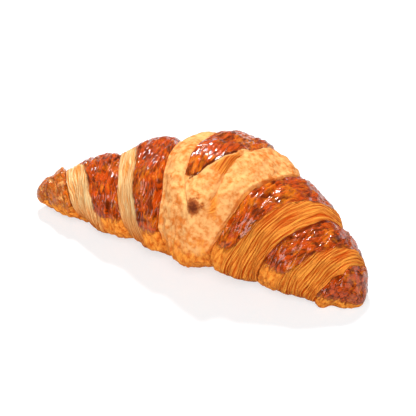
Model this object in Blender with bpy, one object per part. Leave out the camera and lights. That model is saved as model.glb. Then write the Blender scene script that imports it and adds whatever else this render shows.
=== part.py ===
"""A baked butter croissant, as one closed solid, in metres.

A long triangle of dough is rolled up from its broad end to its tip. Each turn of the roll is
narrower than the one below it, so the edges of the dough wind round the roll from the tip, on
the front, to the two ends. The solid is a tapered roll that bows towards the front, with the
crest of each wrap, the valley at each edge of the dough, and the flat underside left by the
tray. +X runs along the roll, -Y is the front, where the tip lies, and +Z is up.
"""

import math

import bmesh
import bpy
import numpy as np

# The roll's main sizes
HALF_LENGTH = 0.083
MIDDLE_RADIUS = 0.0255      # in the valleys between the wraps
END_RADIUS = 0.0045
TAPER = 1.5                 # how gently the radius starts to fall, near the middle
BLUNTNESS = 0.9             # how suddenly it falls, near an end
WIDTH_TO_HEIGHT = 1.2       # each section is wider than it is tall
SEAT = 0.95                 # height of a section's centre over the tray, as a share of its radius
END_CAP = 0.009             # length over which each end closes
BOW_LEFT, BOW_RIGHT = 0.016, 0.008       # how far each end is bent towards the front
LIFT_LEFT, LIFT_RIGHT = 0.004, 0.0       # how far each end rises off the tray
LIFT_FROM = 0.5             # share of the half length at which an end starts to rise

# The dough's tip, which lies on the front
TIP_ANGLE = 33.0            # degrees above the front's middle at which the tip's point lies
TIP_TURN = 0.14             # part of a turn over which the point opens out
TIP_HALF_WIDTH = 0.0095
CENTRE_OFFSET = 0.0075      # the tip is laid this far off the middle, towards +X
TIP_SWAY = 0.0055           # and its point lies this much further
SWAY_ANGLE, SWAY_REACH = 30.0, 0.016     # how soon the sway fades, round the roll and along it

# The dough's edge, which winds out from the tip to an end
FIRST_WRAP = 0.014          # how far the edge moves out in a turn, at the tip
WRAP_GROWTH = 0.0036        # each turn moves out about twice this much further than the last
EDGE_SLANT = 0.0035         # how far the edge runs ahead over the top, and lags under the roll
LAST_EDGE = 0.079           # the edge comes no nearer to an end than this
EDGE_BLEND = 6              # how tightly these curves are joined to one another

# The crest of each wrap, over the valleys beside it
CREST_HEIGHT = 0.0042       # on the tip's wrap and the one under it
FADE_LEFT, FADE_RIGHT = 2.0, 1.0         # further out the crests fade: 1 steadily, 2 near the end
PEAK_LEFT, PEAK_RIGHT = 0.45, 0.30       # where the crest lies, from a wrap's inner to its outer edge
FALL = 2.0                  # how roundly it falls to the outer edge
FIRST_START = 0.2           # the wrap under the tip's starts this far up to its crest
TIP_EXTRA = 0.0010          # how far the tip's wrap stands over the wrap it lies on
UNDERSIDE_CREST = 0.4       # share of the crests that is left on the underside
THINNEST_TIP = 0.003        # the mesh lines beside the tip keep this distance from its centre line

# The mesh
STATIONS = 100              # rings of vertices along the roll
AROUND = 40                 # vertices in a ring
WRAPS = 5                   # strips of mesh between the middle and an end, one for each wrap
UNDERSIDE_ANGLE = -90.0
RETURN_ANGLE = 30.0         # the mesh lines cross over to the next edge this near to the underside

CRUST_COLOUR = (0.60, 0.26, 0.07, 1.0)
CRUST_ROUGHNESS = 0.45


def smooth_step(value):
    value = np.clip(value, 0.0, 1.0)
    return value * value * (3.0 - 2.0 * value)


def edge(turn):
    """Half width of the roll at this many turns from the tip."""
    turn = np.maximum(turn, 0.0)
    short = 1.0 - np.minimum(turn / TIP_TURN, 1.0)
    tip = TIP_HALF_WIDTH * np.sqrt(1.0 - short ** 2)
    rolled = turn * (FIRST_WRAP + WRAP_GROWTH * turn)
    rolled += EDGE_SLANT * np.minimum(turn, 1.0) * np.sin(2.0 * math.pi * turn)
    rolled = np.maximum(rolled, 0.0)
    widest = (tip ** EDGE_BLEND + rolled ** EDGE_BLEND) ** (1.0 / EDGE_BLEND)
    return widest / (1.0 + (widest / LAST_EDGE) ** EDGE_BLEND) ** (1.0 / EDGE_BLEND)


def turn_at(angle):
    """Turns from the tip, for an angle from the underside, -90, round by the top to 270."""
    return (angle - TIP_ANGLE) / 360.0


def along(reach, angle, side):
    """Place along the roll of a point this far from the roll's middle, on side -1 or +1."""
    offset = CENTRE_OFFSET * (1.0 - np.clip(reach / HALF_LENGTH, 0.0, 1.0) ** 4)
    sway = np.exp(-((angle - TIP_ANGLE) / SWAY_ANGLE) ** 2 - (reach / SWAY_REACH) ** 2)
    return offset + TIP_SWAY * sway + side * reach


def mesh_reach(share, angle):
    """Distance from the roll's middle of a mesh line, 0 at the middle and 1 at an end.

    The lines follow the dough's edges. Under the roll each crosses over to the next edge."""
    whole = turn_at(angle)
    from_underside = np.abs((angle - UNDERSIDE_ANGLE + 180.0) % 360.0 - 180.0)
    crossing = 0.5 * (turn_at(UNDERSIDE_ANGLE) + turn_at(UNDERSIDE_ANGLE + 360.0))
    turn = crossing + (whole - crossing) * smooth_step(from_underside / RETURN_ANGLE)
    edges = [np.zeros_like(turn), np.maximum(edge(turn), THINNEST_TIP)]
    edges += [edge(turn + wrap) for wrap in range(1, WRAPS - 1)]
    edges.append(np.full_like(turn, HALF_LENGTH))
    place = np.clip(share, 0.0, 1.0) * WRAPS
    reach = np.zeros_like(turn)
    for wrap in range(WRAPS):
        inside = (place >= wrap) & (place <= wrap + 1)
        across = place - wrap
        blended = edges[wrap] * (1.0 - across) + edges[wrap + 1] * across
        reach = np.where(inside, blended, reach)
    return reach


def wrap_profile(across, peak):
    """Height across a wrap: up from its inner edge to the crest, and down to its cut edge."""
    rise = np.sin(np.clip(across / peak, 0.0, 1.0) * math.pi / 2.0) ** 0.8
    fall = 1.0 - np.clip((across - peak) / (1.0 - peak), 0.0, 1.0) ** FALL
    return np.where(across < peak, rise, fall)


def wrap_height(reach, angle, side):
    """How far the crust stands over the valleys."""
    turn = turn_at(angle)
    peak = np.where(side > 0, PEAK_RIGHT, PEAK_LEFT)
    fade = np.where(side > 0, FADE_RIGHT, FADE_LEFT)
    height = np.zeros_like(reach)
    inner = np.zeros_like(reach)
    for wrap in range(WRAPS + 1):
        outer = edge(turn + wrap) if wrap < WRAPS else np.full_like(reach, HALF_LENGTH)
        across = np.clip((reach - inner) / np.maximum(outer - inner, 1e-6), 0.0, 1.0)
        crest = CREST_HEIGHT * (1.0 - (max(wrap - 1, 0) / (WRAPS - 1)) ** fade)
        if wrap == 0:
            profile = 1.0 + TIP_EXTRA / crest * (1.0 - across ** 3) ** 0.7
        elif wrap == 1:
            # Where no dough lies over it, this wrap carries on across the middle
            covered = smooth_step(inner / (2.0 * THINNEST_TIP))
            start = peak + (FIRST_START - peak) * covered
            profile = wrap_profile(start + (1.0 - start) * across, peak)
        else:
            profile = wrap_profile(across, peak)
        height = np.where((reach >= inner) & (reach <= outer), crest * profile, height)
        inner = outer
    return height


def valley_radius(reach):
    share = np.clip(reach / HALF_LENGTH, 0.0, 1.0)
    return END_RADIUS + (MIDDLE_RADIUS - END_RADIUS) * (1.0 - share ** TAPER) ** BLUNTNESS


def section_radius(place, angle, side, reach):
    valley = valley_radius(reach)
    upper = smooth_step((np.sin(np.radians(angle)) + 1.0) / 0.7)
    crest_share = UNDERSIDE_CREST + (1.0 - UNDERSIDE_CREST) * upper
    radius = valley + wrap_height(reach, angle, side) * crest_share
    into_cap = np.clip((np.abs(place) - (HALF_LENGTH - END_CAP)) / END_CAP, 0.0, 1.0)
    return radius * np.sqrt(np.clip(1.0 - into_cap ** 2.2, 0.0, 1.0))


def croissant_point(share, angle):
    """Position of the crust, for shares from -1 at the left end to 1 at the right end."""
    side = np.where(share < 0.0, -1.0, 1.0)
    reach = mesh_reach(np.abs(share), angle)
    place = along(reach, angle, side)
    radius = section_radius(place, angle, side, reach)
    # The bow: the sections stay square to the bent centre line
    part = place / HALF_LENGTH
    bow = np.where(part < 0.0, BOW_LEFT, BOW_RIGHT)
    centre_y = -bow * part ** 2
    slope = -2.0 * bow * part / HALF_LENGTH
    length = np.sqrt(1.0 + slope ** 2)
    front = radius * WIDTH_TO_HEIGHT * np.cos(np.radians(angle))
    lift = np.where(part < 0.0, LIFT_LEFT, LIFT_RIGHT)
    lift = lift * np.clip((np.abs(part) - LIFT_FROM) / (1.0 - LIFT_FROM), 0.0, 1.0) ** 2
    into_cap = np.clip((np.abs(place) - (HALF_LENGTH - END_CAP)) / END_CAP, 0.0, 1.0)
    centre_z = valley_radius(reach) * (SEAT - 0.15 * into_cap ** 2) + lift
    height = np.maximum(centre_z + radius * np.sin(np.radians(angle)), lift)
    return np.stack([place + front * slope / length, centre_y - front / length, height], axis=-1)


def crust_material():
    material = bpy.data.materials.new("baked_crust")
    material.use_nodes = True
    shader = material.node_tree.nodes["Principled BSDF"]
    shader.inputs["Base Color"].default_value = CRUST_COLOUR
    shader.inputs["Roughness"].default_value = CRUST_ROUGHNESS
    shader.inputs["Metallic"].default_value = 0.0
    return material


def make_croissant():
    """A ball of rings and stations, whose vertices are moved onto the crust."""
    bm = bmesh.new()
    bmesh.ops.create_uvsphere(bm, u_segments=AROUND, v_segments=STATIONS, radius=1.0)
    ball = np.array([vertex.co for vertex in bm.verts])
    share = 2.0 * np.arccos(np.clip(ball[:, 2], -1.0, 1.0)) / math.pi - 1.0
    angle = np.degrees(np.arctan2(ball[:, 1], ball[:, 0]))
    angle = (angle - UNDERSIDE_ANGLE) % 360.0 + UNDERSIDE_ANGLE
    points = croissant_point(share, angle)
    low, high = points.min(axis=0), points.max(axis=0)
    points -= [(low[0] + high[0]) / 2.0, (low[1] + high[1]) / 2.0, low[2]]
    for vertex, point in zip(bm.verts, points):
        vertex.co = point
    bmesh.ops.recalc_face_normals(bm, faces=bm.faces)
    mesh = bpy.data.meshes.new("croissant")
    bm.to_mesh(mesh)
    bm.free()
    mesh.shade_smooth()
    mesh.materials.append(crust_material())
    croissant = bpy.data.objects.new("croissant", mesh)
    bpy.context.scene.collection.objects.link(croissant)
    return croissant


for old_object in list(bpy.data.objects):
    bpy.data.objects.remove(old_object)
make_croissant()
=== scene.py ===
import math

import bmesh
import bpy
import numpy as np
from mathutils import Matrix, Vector, noise


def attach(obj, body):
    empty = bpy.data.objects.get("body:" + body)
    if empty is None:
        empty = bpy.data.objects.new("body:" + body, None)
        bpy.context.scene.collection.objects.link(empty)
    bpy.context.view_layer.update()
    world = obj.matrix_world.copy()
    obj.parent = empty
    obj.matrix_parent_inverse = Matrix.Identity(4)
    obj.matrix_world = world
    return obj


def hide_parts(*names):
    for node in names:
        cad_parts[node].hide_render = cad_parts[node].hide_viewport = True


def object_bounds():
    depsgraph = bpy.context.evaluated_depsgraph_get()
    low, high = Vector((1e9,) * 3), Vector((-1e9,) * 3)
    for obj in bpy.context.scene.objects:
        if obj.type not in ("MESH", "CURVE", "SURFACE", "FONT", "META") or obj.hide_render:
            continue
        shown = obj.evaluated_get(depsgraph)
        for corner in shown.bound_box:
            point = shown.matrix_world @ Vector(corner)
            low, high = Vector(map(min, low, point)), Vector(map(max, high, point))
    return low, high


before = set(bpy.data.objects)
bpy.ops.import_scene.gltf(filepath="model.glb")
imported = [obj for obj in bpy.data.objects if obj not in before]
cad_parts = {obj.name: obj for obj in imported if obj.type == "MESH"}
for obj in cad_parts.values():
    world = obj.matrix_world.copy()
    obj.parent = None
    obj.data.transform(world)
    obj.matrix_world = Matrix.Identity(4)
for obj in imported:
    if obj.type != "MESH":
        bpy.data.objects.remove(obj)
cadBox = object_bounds()


def tone(red, green, blue):
    # a screen colour, 0 to 255, as the linear colour that shaders take
    parts = [part / 255 for part in (red, green, blue)]
    return [part / 12.92 if part < 0.04045 else ((part + 0.055) / 1.055) ** 2.4 for part in parts] + [1.0]


def smooth(value, low=0.0, high=1.0):
    value = np.clip((value - low) / (high - low), 0, 1)
    return value * value * (3 - 2 * value)


def near(distance, reach):
    return np.exp(-(distance / reach) ** 2)


view = {
    "turn": 31,             # degrees round from the front, towards +X
    "height": 34,           # degrees over the floor
    "distance": 0.62,
    "lens": 120,
    "aim": (0.0, -0.0005, 0.025),
    "sideways": 0.001,      # the aim, moved within the picture
    "upwards": -0.0055,
}


def placeCamera():
    turn, height = math.radians(view["turn"]), math.radians(view["height"])
    back = Vector((math.sin(turn) * math.cos(height), -math.cos(turn) * math.cos(height), math.sin(height)))
    right = Vector((math.cos(turn), math.sin(turn), 0))
    place = Vector(view["aim"]) + back * view["distance"]
    aim = Vector(view["aim"]) + right * view["sideways"] + back.cross(right) * view["upwards"]
    camera = bpy.data.objects.new("camera", bpy.data.cameras.new("camera"))
    camera.data.lens = view["lens"]
    camera.data.sensor_width = 36
    camera.data.clip_start = 0.01
    camera.location = place
    camera.rotation_euler = (place - aim).to_track_quat("Z", "Y").to_euler()
    bpy.context.scene.collection.objects.link(camera)
    bpy.context.scene.camera = camera


placeCamera()
print("camera placed")

# the roll of dough, with the same sizes as its solid; pairs are for the left and right ends
roll = {
    "halfLength": (cadBox[1][0] - cadBox[0][0]) / 2,
    "middleRadius": 0.0255,
    "endRadius": 0.0045,
    "taper": 1.5,
    "bluntness": 0.9,
    "widthToHeight": 1.2,
    "seat": 0.95,
    "cap": 0.009,
    "bow": (0.016, 0.008),
    "lift": (0.004, 0.0),
    "liftFrom": 0.5,
    "tipAngle": 33.0,
    "tipTurn": 0.14,
    "tipHalfWidth": 0.0095,
    "offset": 0.0075,
    "tipSway": 0.0055,
    "swayAngle": 30.0,
    "swayReach": 0.016,
    "firstWrap": 0.014,
    "wrapGrowth": 0.0036,
    "slant": 0.0035,
    "lastEdge": 0.079,
    "edgeBlend": 6,
    "crest": 0.0042,
    "fade": (2.0, 1.0),
    "peak": (0.45, 0.30),
    "fall": 2.0,
    "firstStart": 0.2,
    "tipExtra": 0.0010,
    "undersideCrest": 0.4,
    "thinnestTip": 0.003,
    "wraps": 5,
    "wrapShares": (0.0, 0.08, 0.22, 0.52, 0.84, 1.0),   # the mesh's rings, shared out over the wraps
    "rings": 490,
    "around": 200,
    "crossOver": 30.0,
}
relief = {
    "lump": 0.0008, "lumpSize": 0.014,
    "lip": 0.0006, "lipBack": 0.0006, "lipWidth": 0.0009,
    "creviceAndPaintedShade": 0.0012, "creviceWidth": 0.0008, "creviceShade": 0.0006,
    "wrinkle": 0.0012,
    "leaf": 0.00034, "leafStep": 0.0012, "leafWander": 0.0016,
    "blister": 0.00035, "blisterSize": 0.0032,
    "pleat": 0.0004,
    "knob": 0.0008, "knobSize": 0.0055,
    "tipRise": 0.0017, "tipHollow": 0.0024,
}
# marks about the dough's tip: places are from the roll's middle, angles are degrees up the front,
# and a spread is the length that counts as a degree
tipMarks = {
    "riseAngle": 34, "riseSpread": 0.00050, "riseReach": 0.0042,
    "hollowPlace": 0.0085, "hollowAngle": 40,
    "hollowReach": 0.0038, "hollowTurn": 17,
    # the hollow's shade reach and turn size the painted shade in that hollow
    "hollowShadeReach": 0.0034, "hollowShadeTurn": 15,
    "scorchPlace": 0.0004, "scorchAngle": 35, "scorchSpread": 0.00055, "scorchReach": 0.0038,
    "speckReach": 0.0012, "speckStart": (48, 56), "speckEnd": (90, 100),
}


def edgeWidth(turn):
    # half width of the dough at this many turns from its tip: a round point, then a widening spiral
    turn = np.maximum(turn, 0)
    tip = roll["tipHalfWidth"] * np.sqrt(1 - (1 - np.minimum(turn / roll["tipTurn"], 1)) ** 2)
    rolled = turn * (roll["firstWrap"] + roll["wrapGrowth"] * turn)
    rolled = np.maximum(rolled + roll["slant"] * np.minimum(turn, 1) * np.sin(2 * math.pi * turn), 0)
    blend = roll["edgeBlend"]
    widest = (tip ** blend + rolled ** blend) ** (1 / blend)
    return widest / (1 + (widest / roll["lastEdge"]) ** blend) ** (1 / blend)


def valleyRadius(reach):
    share = np.clip(reach / roll["halfLength"], 0, 1)
    swell = (1 - share ** roll["taper"]) ** roll["bluntness"]
    return roll["endRadius"] + (roll["middleRadius"] - roll["endRadius"]) * swell


def bySide(side, pair):
    return np.where(side > 0, pair[1], pair[0])


def turnAt(angle):
    return (angle - roll["tipAngle"]) / 360


def ringReach(share, angle):
    # how far from the roll's middle a ring of the mesh lies: the rings follow the dough's edges
    whole = turnAt(angle)
    fromUnder = np.abs((angle + 90 + 180) % 360 - 180)
    crossing = 0.5 * (turnAt(-90) + turnAt(270))
    turn = crossing + (whole - crossing) * smooth(fromUnder / roll["crossOver"])
    edges = [np.zeros_like(turn), np.maximum(edgeWidth(turn), roll["thinnestTip"])]
    edges += [edgeWidth(turn + wrap) for wrap in range(1, roll["wraps"] - 1)]
    edges.append(np.full_like(turn, roll["halfLength"]))
    reach = np.zeros_like(turn)
    for wrap, (start, end) in enumerate(zip(roll["wrapShares"][:-1], roll["wrapShares"][1:])):
        across = (share - start) / (end - start)
        # rings crowd towards the edges of each wrap
        across = across - 0.5 * np.sin(2 * math.pi * across) / (2 * math.pi) * (start > 0)
        blended = edges[wrap] * (1 - across) + edges[wrap + 1] * across
        reach = np.where((share >= start - 1e-9) & (share <= end + 1e-9), blended, reach)
    return reach


def wrapPlace(reach, angle):
    # which wrap a place is on, and the reach of that wrap's inner and outer edges
    turn = turnAt(angle)
    which = np.zeros(reach.shape, int)
    inner, outer = np.zeros_like(reach), np.zeros_like(reach)
    below = np.zeros_like(reach)
    for wrap in range(roll["wraps"] + 1):
        if wrap < roll["wraps"]:
            above = edgeWidth(turn + wrap)
        else:
            above = np.full_like(reach, roll["halfLength"])
        here = (reach >= below - 1e-8) & (above > below)
        which = np.where(here, wrap, which)
        inner = np.where(here, below, inner)
        outer = np.where(here, above, outer)
        below = above
    return which, inner, outer


def wrapEdges(which, angle):
    # the inner and outer edges of a wrap that is already known
    turn = turnAt(angle)
    inner = np.where(which > 0, edgeWidth(turn + which - 1), 0)
    outer = np.where(which < roll["wraps"], edgeWidth(turn + which), roll["halfLength"])
    return inner, np.maximum(outer, inner)


def wrapProfile(across, peak):
    rise = np.sin(np.clip(across / peak, 0, 1) * math.pi / 2) ** 0.8
    fall = 1 - np.clip((across - peak) / (1 - peak), 0, 1) ** roll["fall"]
    return np.where(across < peak, rise, fall)


def wrapHeight(which, across, inner, angle, side):
    peak = bySide(side, roll["peak"])
    outward = np.maximum(which - 1, 0) / (roll["wraps"] - 1)
    crest = roll["crest"] * (1 - outward ** bySide(side, roll["fade"]))
    tip = 1 + roll["tipExtra"] / roll["crest"] * (1 - across ** 3) ** 0.7
    covered = smooth(inner / (2 * roll["thinnestTip"]))
    start = peak + (roll["firstStart"] - peak) * covered
    first = wrapProfile(start + (1 - start) * across, peak)
    profile = np.where(which == 0, tip, np.where(which == 1, first, wrapProfile(across, peak)))
    return crest * profile


def tipLine(angle):
    # where the dark skin of the tip's wrap ends, from the wrap's middle
    return np.interp(angle, (52, 62, 76, 92, 110), (-0.0060, -0.0015, 0.0035, 0.0080, 0.0095))


def bandLimit(angle, side):
    # the share of a wrap's width that is glazed
    return np.interp(angle, (0, 40, 80, 110), (0.42, 0.50, 0.58, 0.70)) + np.where(side > 0, 0, 0.07)


def washMask(which, reach, across, angle, side):
    # where the brushed egg has baked dark: the inner part of each wrap, over the top of the roll
    limit = bandLimit(angle, side)
    band = 1 - smooth(across, limit - 0.12, limit + 0.12)
    over = smooth(angle, np.where(side > 0, -4, -16), np.where(side > 0, 24, 14))
    over = over * (1 - smooth(angle, 152, 205))
    mask = np.where(which >= 2, band * over, 0)
    tip = 1 - smooth(side * reach, tipLine(angle) - 0.0012, tipLine(angle) + 0.0012)
    tip = tip * smooth(angle, 52, 60) * (1 - smooth(angle, 205, 235))
    mask = np.where(which == 0, tip, mask)
    nub = np.where(side > 0, 0.80, 0.50) * (1 - smooth(angle, 190, 240)) * smooth(angle, -40, 15)
    return np.where(which >= 4, nub, mask)


def cutMask(which, reach, across, angle, side):
    # where the cut leaves of the dough show: the outer part of each wrap
    limit = bandLimit(angle, side) - 0.12
    face = smooth(across, limit, limit + 0.12)
    tip = smooth(side * reach, tipLine(angle) + 0.0005, tipLine(angle) + 0.0025) * smooth(angle, 58, 76)
    face = np.where(which == 0, tip, face)
    face = np.where(which == 1, smooth(across, 0.90, 0.99) * 0.5, face)
    return np.where(which >= 4, 0.35 * face, face)


def noiseAt(points, size, octaves=3, seed=0.0):
    offset = Vector((seed, seed * 1.7, seed * 0.6))
    return np.array([noise.fractal(Vector(point) / size + offset, 1.0, 2.0, octaves) for point in points])


def ridgeAt(points, size, seed=0.0):
    # sharp-crested wrinkles, about 0 to 1
    offset = Vector((seed, seed * 1.3, seed * 0.4))
    return 1 - np.abs(np.array([noise.fractal(Vector(point) / size + offset, 1.0, 2.0, 3)
                                for point in points])) * 2.2


def crustRelief(which, inner, outer, reach, angle, side, rough):
    width = np.maximum(outer - inner, 1e-6)
    across = np.clip((reach - inner) / width, 0, 1)
    fromInner, toOuter = reach - inner, outer - reach
    wash = washMask(which, reach, across, angle, side)
    cut = cutMask(which, reach, across, angle, side)
    upper = smooth(np.sin(np.radians(angle)), -0.9, -0.2)
    # lumps over the whole roll
    height = relief["lump"] * rough["lump"] * 2.0
    # the lip of each cut edge, and the crevice under it
    lip = np.where((which >= 1) & (which < 4), 1.0, np.where(which == 0, 0.5, 0.0))
    height += relief["lip"] * near(toOuter - relief["lipBack"], relief["lipWidth"]) * lip * upper
    under = np.choose(which, (0, 0.7 * (inner > 0.002), 1.0, 1.0, 0.3, 0.0))
    height -= relief["creviceAndPaintedShade"] * np.exp(-np.maximum(fromInner, 0) / relief["creviceWidth"]) * under * upper
    # wrinkles of the glazed skin
    height += relief["wrinkle"] * wash * (rough["wrinkle"] - 0.6) * upper
    # leaves of dough, stepping down to the outer edge
    count = (toOuter + relief["leafWander"] * rough["leafShift"]) / relief["leafStep"]
    step = count - np.floor(count)
    step = np.where(step < 0.25, step / 0.25, (1 - step) / 0.75)
    strength = np.clip(0.8 + 2 * rough["leafStrength"], 0.1, 1.8)
    height += relief["leaf"] * (0.3 + 0.7 * upper) * cut * (step - 0.5) * strength
    # blisters and pleats
    height += relief["blister"] * (1 - cut) * (1 - 0.6 * wash) * rough["blister"] * 2
    lower = 1 - smooth(angle, -5, 25)
    height += relief["pleat"] * lower * (rough["pleat"] - 0.5) * (which < 4)
    height += relief["knob"] * rough["knob"] * 2 * (which >= 4)
    # the dough's tip, raised at its point, with a hollow to its right
    place = side * reach
    fromPoint = np.hypot(place, (angle - tipMarks["riseAngle"]) * tipMarks["riseSpread"])
    height += relief["tipRise"] * near(fromPoint, tipMarks["riseReach"])
    beside = near(place - tipMarks["hollowPlace"], tipMarks["hollowReach"])
    height -= relief["tipHollow"] * beside * near(angle - tipMarks["hollowAngle"], tipMarks["hollowTurn"])
    return height


def placeAlong(reach, angle, side):
    # where a point lies along the roll, from how far it is from the roll's middle
    offset = roll["offset"] * (1 - np.clip(reach / roll["halfLength"], 0, 1) ** 4)
    sway = roll["tipSway"] * near(angle - roll["tipAngle"], roll["swayAngle"]) * near(reach, roll["swayReach"])
    return offset + sway + side * reach


def rollPoints(share, angle):
    side = np.where(share < 0, -1.0, 1.0)
    reach = ringReach(np.abs(share), angle)
    which, inner, outer = wrapPlace(reach, angle)
    across = np.clip((reach - inner) / np.maximum(outer - inner, 1e-6), 0, 1)
    place = placeAlong(reach, angle, side)
    valley = valleyRadius(reach)
    upper = smooth((np.sin(np.radians(angle)) + 1) / 0.7)
    crestShare = roll["undersideCrest"] + (1 - roll["undersideCrest"]) * upper
    radius = valley + wrapHeight(which, across, inner, angle, side) * crestShare
    # rough surface, worked out in the flattened wrap so that it runs with the dough
    arc = np.radians(angle) * 0.5 * (valley + 0.012)
    along = np.stack([arc, place, which * 0.05], -1)
    stretched = np.stack([arc / 4.5, place, which * 0.05], -1)
    body = np.stack([place, radius * np.cos(np.radians(angle)), radius * np.sin(np.radians(angle))], -1)
    rough = {
        "lump": noiseAt(body, relief["lumpSize"], 2, 3.0),
        "wrinkle": ridgeAt(stretched, 0.0024, 5.0),
        "leafShift": noiseAt(np.stack([arc / 5, place, which * 0.05], -1), 0.008, 3, 8.0),
        "leafStrength": noiseAt(along, 0.006, 2, 11.0),
        "blister": noiseAt(body, relief["blisterSize"], 2, 14.0),
        "pleat": ridgeAt(stretched, 0.0046, 21.0),
        "knob": noiseAt(body, relief["knobSize"], 2, 31.0),
    }
    radius += crustRelief(which, inner, outer, reach, angle, side, rough)
    intoCap = np.clip((np.abs(place) - (roll["halfLength"] - roll["cap"])) / roll["cap"], 0, 1)
    radius *= np.sqrt(np.clip(1 - intoCap ** 2.2, 0, 1))
    part = place / roll["halfLength"]
    bow = np.where(part < 0, *roll["bow"])
    slope = -2 * bow * part / roll["halfLength"]
    length = np.sqrt(1 + slope ** 2)
    front = radius * roll["widthToHeight"] * np.cos(np.radians(angle))
    lift = np.where(part < 0, *roll["lift"])
    lift = lift * np.clip((np.abs(part) - roll["liftFrom"]) / (1 - roll["liftFrom"]), 0, 1) ** 2
    centre = valley * (roll["seat"] - 0.15 * intoCap ** 2) + lift
    height = np.maximum(centre + radius * np.sin(np.radians(angle)), lift)
    points = np.stack([place + front * slope / length, -bow * part ** 2 - front / length, height], -1)
    return points, reach, rough["leafShift"]


def setCorners(mesh, name, kind, values):
    layer = mesh.attributes.new(name, kind, "CORNER")
    layer.data.foreach_set("vector" if kind == "FLOAT2" else "color", values.astype(np.float32).ravel())


def makeRoll():
    bm = bmesh.new()
    bmesh.ops.create_uvsphere(bm, u_segments=roll["around"], v_segments=roll["rings"], radius=1)
    ball = np.array([vertex.co for vertex in bm.verts])
    share = 2 * np.arccos(np.clip(ball[:, 2], -1, 1)) / math.pi - 1
    angle = (np.degrees(np.arctan2(ball[:, 1], ball[:, 0])) + 90) % 360 - 90
    angle = np.where(angle > 269.99, -90, angle)
    points, reach, leafShift = rollPoints(share, angle)
    low, high = points.min(axis=0), points.max(axis=0)
    cadLow, cadHigh = (np.array(corner) for corner in cadBox)
    points += (cadLow + cadHigh) / 2 - (low + high) / 2
    points[:, 2] = np.maximum(points[:, 2] - points[:, 2].min(), 0)
    for vertex, point in zip(bm.verts, points):
        vertex.co = point
    bmesh.ops.recalc_face_normals(bm, faces=bm.faces)
    mesh = bpy.data.meshes.new("croissantCrust")
    bm.to_mesh(mesh)
    bm.free()
    mesh.shade_smooth()
    # the crust's own coordinates and masks, for each corner of each face; the crevice and hollow masks are painted
    # shade
    corner = np.empty(len(mesh.loops), int)
    mesh.loops.foreach_get("vertex_index", corner)
    start = np.array([face.loop_start for face in mesh.polygons])
    total = np.array([face.loop_total for face in mesh.polygons])
    owner = np.repeat(np.arange(len(start)), total)
    cornerAngle = angle[corner]
    first = cornerAngle[start][owner]
    cornerAngle = cornerAngle + 360 * np.round((first - cornerAngle) / 360)
    middleAngle = np.bincount(owner, cornerAngle) / total
    middleReach = np.bincount(owner, reach[corner]) / total
    middleSide = np.where(np.bincount(owner, share[corner]) < 0, -1.0, 1.0)
    # a face under the roll that straddles the turn's ends counts as the higher turn
    which, inner, outer = wrapPlace(middleReach, np.where(middleAngle < -90, middleAngle + 360, middleAngle))
    which = which[owner]
    cornerSide = middleSide[owner]
    inner, outer = wrapEdges(which, cornerAngle)
    cornerReach = reach[corner]
    across = np.clip((cornerReach - inner) / np.maximum(outer - inner, 1e-6), 0, 1)
    arc = np.radians(cornerAngle) * 0.5 * (valleyRadius(cornerReach) + 0.012)
    setCorners(mesh, "fromInner", "FLOAT2", np.stack([arc, cornerReach - inner + which * 0.1], -1))
    leafPlace = outer - cornerReach + relief["leafWander"] * leafShift[corner]
    setCorners(mesh, "toOuter", "FLOAT2", np.stack([arc, leafPlace], -1))
    wash = washMask(which, cornerReach, across, cornerAngle, cornerSide)
    cut = cutMask(which, cornerReach, across, cornerAngle, cornerSide)
    # painted shade: the crust darkens along each wrap's inner edge, in the crevice where shade falls
    creviceAndPaintedShade = np.exp(-np.maximum(cornerReach - inner, 0) / relief["creviceShade"])
    creviceAndPaintedShade *= np.where(which >= 2, 1, np.where(which == 1, 0.45 * smooth(inner, 0.001, 0.005), 0))
    lower = 1 - smooth(cornerAngle, -30, 30) * (1 - smooth(cornerAngle, 150, 210))
    place = cornerSide * cornerReach
    turned = (cornerAngle - tipMarks["scorchAngle"]) * tipMarks["scorchSpread"]
    scorch = near(np.hypot(place - tipMarks["scorchPlace"], turned), tipMarks["scorchReach"])
    specks = near(place - tipLine(cornerAngle), tipMarks["speckReach"])
    specks = specks * smooth(cornerAngle, *tipMarks["speckStart"]) * (1 - smooth(cornerAngle, *tipMarks["speckEnd"]))
    specks = specks * (which == 0)
    setCorners(mesh, "bakeAndPaintedShade", "FLOAT_COLOR", np.stack([wash, cut, creviceAndPaintedShade, lower], -1))
    pale = np.where(which <= 1, 1.0, 0.0)
    # painted shade: gold brown in the hollow to the right of the dough's tip
    hollowPaintedShade = near(place - tipMarks["hollowPlace"], tipMarks["hollowShadeReach"])
    hollowPaintedShade = hollowPaintedShade * near(cornerAngle - tipMarks["hollowAngle"], tipMarks["hollowShadeTurn"])
    setCorners(mesh, "marks", "FLOAT_COLOR", np.stack([scorch, specks, pale, hollowPaintedShade], -1))
    piece = bpy.data.objects.new("croissantCrust", mesh)
    bpy.context.scene.collection.objects.link(piece)
    return piece


class Wire:
    # an output socket, so that shader maths reads as sums

    def __init__(self, recipe, socket):
        self.recipe, self.socket = recipe, socket

    def calc(self, operation, *values):
        return self.recipe.add("ShaderNodeMath", {"operation": operation}, dict(enumerate(values)))

    def __add__(self, other):
        return self.calc("ADD", self, other)

    def __radd__(self, other):
        return self.calc("ADD", other, self)

    def __sub__(self, other):
        return self.calc("SUBTRACT", self, other)

    def __rsub__(self, other):
        return self.calc("SUBTRACT", other, self)

    def __mul__(self, other):
        return self.calc("MULTIPLY", self, other)

    def __rmul__(self, other):
        return self.calc("MULTIPLY", other, self)

    def __truediv__(self, other):
        return self.calc("DIVIDE", self, other)

    def __rtruediv__(self, other):
        return self.calc("DIVIDE", other, self)

    def fraction(self):
        return self.calc("FRACT", self)


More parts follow.
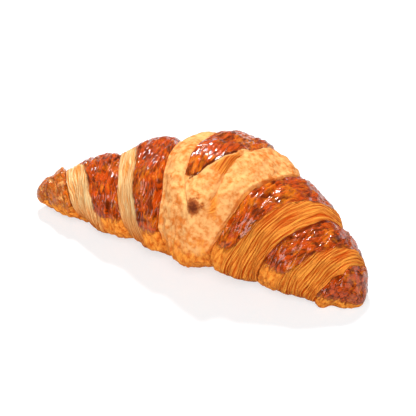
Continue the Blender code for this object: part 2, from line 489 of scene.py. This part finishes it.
class Recipe:
    # the nodes of a material or of the world

    def __init__(self, tree):
        self.tree = tree

    def add(self, kind, settings=None, sockets=None, out=0):
        node = self.tree.nodes.new(kind)
        for key, value in (settings or {}).items():
            setattr(node, key, value)
        self.feed(node, sockets or {})
        return Wire(self, node.outputs[out])

    def feed(self, node, sockets):
        for key, value in sockets.items():
            if isinstance(value, Wire):
                self.tree.links.new(value.socket, node.inputs[key])
            else:
                node.inputs[key].default_value = value

    def mix(self, factor, first, second):
        return self.add("ShaderNodeMix", {"data_type": "RGBA"}, {0: factor, 6: first, 7: second}, 2)

    def noise(self, vector, scale, detail=3, roughness=0.5, distortion=0.0):
        sockets = {"Vector": vector, "Scale": scale, "Detail": detail, "Roughness": roughness,
                   "Distortion": distortion}
        return self.add("ShaderNodeTexNoise", {}, sockets)

    def between(self, value, low, high):
        sockets = {"Value": value, "From Min": low, "From Max": high}
        return self.add("ShaderNodeMapRange", {"interpolation_type": "SMOOTHSTEP"}, sockets)

    def stretch(self, vector, scale):
        return self.add("ShaderNodeVectorMath", {"operation": "MULTIPLY"}, {0: vector, 1: scale})

    def attribute(self, name, out="Color"):
        return self.add("ShaderNodeAttribute", {"attribute_name": name}, {}, out)

    def channels(self, name):
        # the four numbers that a colour attribute carries
        split = self.add("ShaderNodeSeparateColor", {}, {"Color": self.attribute(name)})
        outputs = split.socket.node.outputs
        return [Wire(self, outputs[part]) for part in range(3)] + [self.attribute(name, "Alpha")]


def newMaterial(name):
    material = bpy.data.materials.new(name)
    material.use_nodes = True
    return material, Recipe(material.node_tree)


crust = {
    "pale": tone(246, 184, 114),
    "paleSpots": tone(216, 118, 44),
    "gold": tone(250, 162, 64),
    "goldDeep": tone(202, 92, 16),
    "leafLight": tone(255, 166, 66),
    "leafDeep": tone(198, 72, 0),
    "leafLightPale": tone(255, 220, 158),
    "leafDeepPale": tone(234, 142, 60),
    "wash": tone(204, 74, 2),
    "washDeep": tone(108, 38, 0),
    "washLight": tone(238, 128, 18),
    # painted shade for the crevices between wraps
    "creviceAndPaintedShade": tone(130, 40, 0),
    "scorch": tone(168, 88, 40),
    "scorchDeep": tone(104, 44, 20),
}


def makeCrust():
    material, mat = newMaterial("crust")
    place = mat.add("ShaderNodeTexCoord", {}, {}, "Object")
    fromInner = mat.attribute("fromInner", "Vector")
    toOuter = mat.attribute("toOuter", "Vector")
    wash, cut, creviceAndPaintedShade, lower = mat.channels("bakeAndPaintedShade")
    scorch, specks, middle, hollowPaintedShade = mat.channels("marks")
    # noises that run with the dough
    ragged = mat.noise(mat.stretch(fromInner, (420, 700, 0)), 1.0, 4, 0.65)
    skin = mat.noise(mat.stretch(fromInner, (300, 560, 0)), 1.0, 5, 0.62, 1.1)
    leaves = mat.noise(mat.stretch(toOuter, (90, 1500, 0)), 1.0, 3, 0.6)
    leafShade = mat.noise(mat.stretch(toOuter, (60, 420, 0)), 1.0, 3, 0.5)
    blotch = mat.noise(place, 130, 4, 0.6)
    grain = mat.noise(place, 420, 3, 0.6)
    fine = mat.noise(place, 1100, 2, 0.6)
    along = mat.add("ShaderNodeSeparateXYZ", {}, {0: place})
    # pale skin, mottled, turning gold low down; gold is also painted as shade in the hollow to the right of the tip
    mottle = mat.between(grain * 0.6 + blotch * 0.4, 0.39, 0.64)
    pale = mat.mix(mottle, crust["pale"], crust["paleSpots"])
    gold = mat.mix(mat.between(ragged, 0.34, 0.68), crust["gold"], crust["goldDeep"])
    golden = hollowPaintedShade * 0.9 + lower + (blotch - 0.5) * 1.2 + (1 - middle) * 0.6
    goldAmount = mat.between(golden, 0.25, 0.85)
    colour = mat.mix(goldAmount, pale, gold)
    # cut leaves, paler at the left end
    leftward = mat.between(along, 0.015, -0.02) * (1 - lower * 0.9)
    leafLight = mat.mix(leftward, crust["leafLight"], crust["leafLightPale"])
    leafDeep = mat.mix(leftward, crust["leafDeep"], crust["leafDeepPale"])
    leafPhase = mat.add("ShaderNodeSeparateXYZ", {}, {0: toOuter}, 1) / relief["leafStep"]
    leafPhase = (leafPhase + (leafShade - 0.5) * 1.2).fraction()
    leafFace = mat.between(leafPhase, 1.0, 0.0) * 0.45 + (leaves - 0.5) * 3.0
    leaf = mat.mix(mat.between(leafFace, -0.25, 0.75), leafDeep, leafLight)
    colour = mat.mix(mat.between(cut + (ragged - 0.5) * 0.5, 0.3, 0.7), colour, leaf)
    # egg-washed bands
    washEdge = mat.between(wash + (ragged - 0.5) * 0.9 + (blotch - 0.5) * 0.5, 0.32, 0.62)
    dark = mat.mix(mat.between(skin, 0.38, 0.60), crust["washDeep"], crust["wash"])
    dark = mat.mix(mat.between(ragged * 0.5 + blotch * 0.5, 0.48, 0.64) * 0.75, dark, crust["washLight"])
    colour = mat.mix(washEdge, colour, dark)
    # painted shade in the crevices, then the scorched tip and specks
    colour = mat.mix(mat.between(creviceAndPaintedShade, 0.25, 0.8) * 0.8, colour, crust["creviceAndPaintedShade"])
    speckled = mat.between(specks * (0.4 + ragged), 0.5, 0.75)
    colour = mat.mix(speckled, colour, crust["washDeep"])
    scorched = scorch + (grain - 0.5) * 0.9 + (fine - 0.5) * 0.5
    colour = mat.mix(mat.between(scorched, 0.2, 0.6), colour, crust["scorch"])
    colour = mat.mix(mat.between(scorched, 0.55, 1.0), colour, crust["scorchDeep"])
    # finish
    gloss = washEdge * mat.between(skin, 0.25, 0.5)
    height = skin * washEdge * 1.2 + leafFace * cut * 0.6 + grain * 0.5 + fine * 0.25
    bump = mat.add("ShaderNodeBump", {}, {"Height": height, "Strength": 1.0, "Distance": 0.0011})
    mat.feed(mat.tree.nodes["Principled BSDF"], {
        "Base Color": colour, "Roughness": 0.70 - gloss * 0.44,
        "Specular IOR Level": 0.06, "Normal": bump,
        "Coat Weight": gloss, "Coat Roughness": 0.09, "Coat IOR": 1.39,
    })
    return material


piece = makeRoll()
print("roll shaped:", len(piece.data.polygons), "faces")
piece.data.materials.append(makeCrust())
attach(piece, "root")
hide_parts("croissant")
print("crust finished")

studio = {
    "floorSize": 6.0,
    "floor": (0.66, 0.66, 0.66, 1),
    "floorSeen": (0.42, 0.43, 0.44, 1),
    "floorGlow": (0.61, 0.61, 0.61, 1),
    "world": (0.15, 0.15, 0.15, 1),
    # each lamp: place, size, watts
    "lamps": {
        "key": ((-0.35, 0.45, 0.95), 0.22, 14.5),
        "fill": ((0.45, -0.85, 0.75), 0.9, 13.5),
    },
}


def makeStudio():
    bm = bmesh.new()
    bmesh.ops.create_grid(bm, x_segments=1, y_segments=1, size=studio["floorSize"] / 2)
    mesh = bpy.data.meshes.new("floor")
    bm.to_mesh(mesh)
    bm.free()
    floor = bpy.data.objects.new("floor", mesh)
    bpy.context.scene.collection.objects.link(floor)
    material, paint = newMaterial("floorPaint")
    rays = paint.add("ShaderNodeLightPath", {}, {}, "Is Camera Ray")
    paint.feed(paint.tree.nodes["Principled BSDF"], {
        "Base Color": paint.mix(rays, studio["floor"], studio["floorSeen"]),
        "Roughness": 0.9, "Specular IOR Level": 0.0,
        "Emission Color": paint.mix(rays, (0, 0, 0, 1), studio["floorGlow"]), "Emission Strength": 1.0,
    })
    mesh.materials.append(material)
    world = bpy.data.worlds.new("studio")
    bpy.context.scene.world = world
    world.use_nodes = True
    sky = Recipe(world.node_tree)
    seen = sky.add("ShaderNodeLightPath", {}, {}, "Is Camera Ray")
    sky.feed(sky.tree.nodes["Background"], {
        "Color": sky.mix(seen, studio["world"], (1, 1, 1, 1)), "Strength": 1.0,
    })
    for name, (place, size, watts) in studio["lamps"].items():
        lamp = bpy.data.lights.new(name, "AREA")
        lamp.shape = "DISK"
        lamp.size = size
        lamp.energy = watts
        holder = bpy.data.objects.new(name, lamp)
        holder.location = place
        holder.rotation_euler = (Vector(place) - Vector((0, 0, 0.02))).to_track_quat("Z", "Y").to_euler()
        bpy.context.scene.collection.objects.link(holder)


makeStudio()
bpy.context.scene.view_settings.view_transform = "Standard"
print("studio lit")
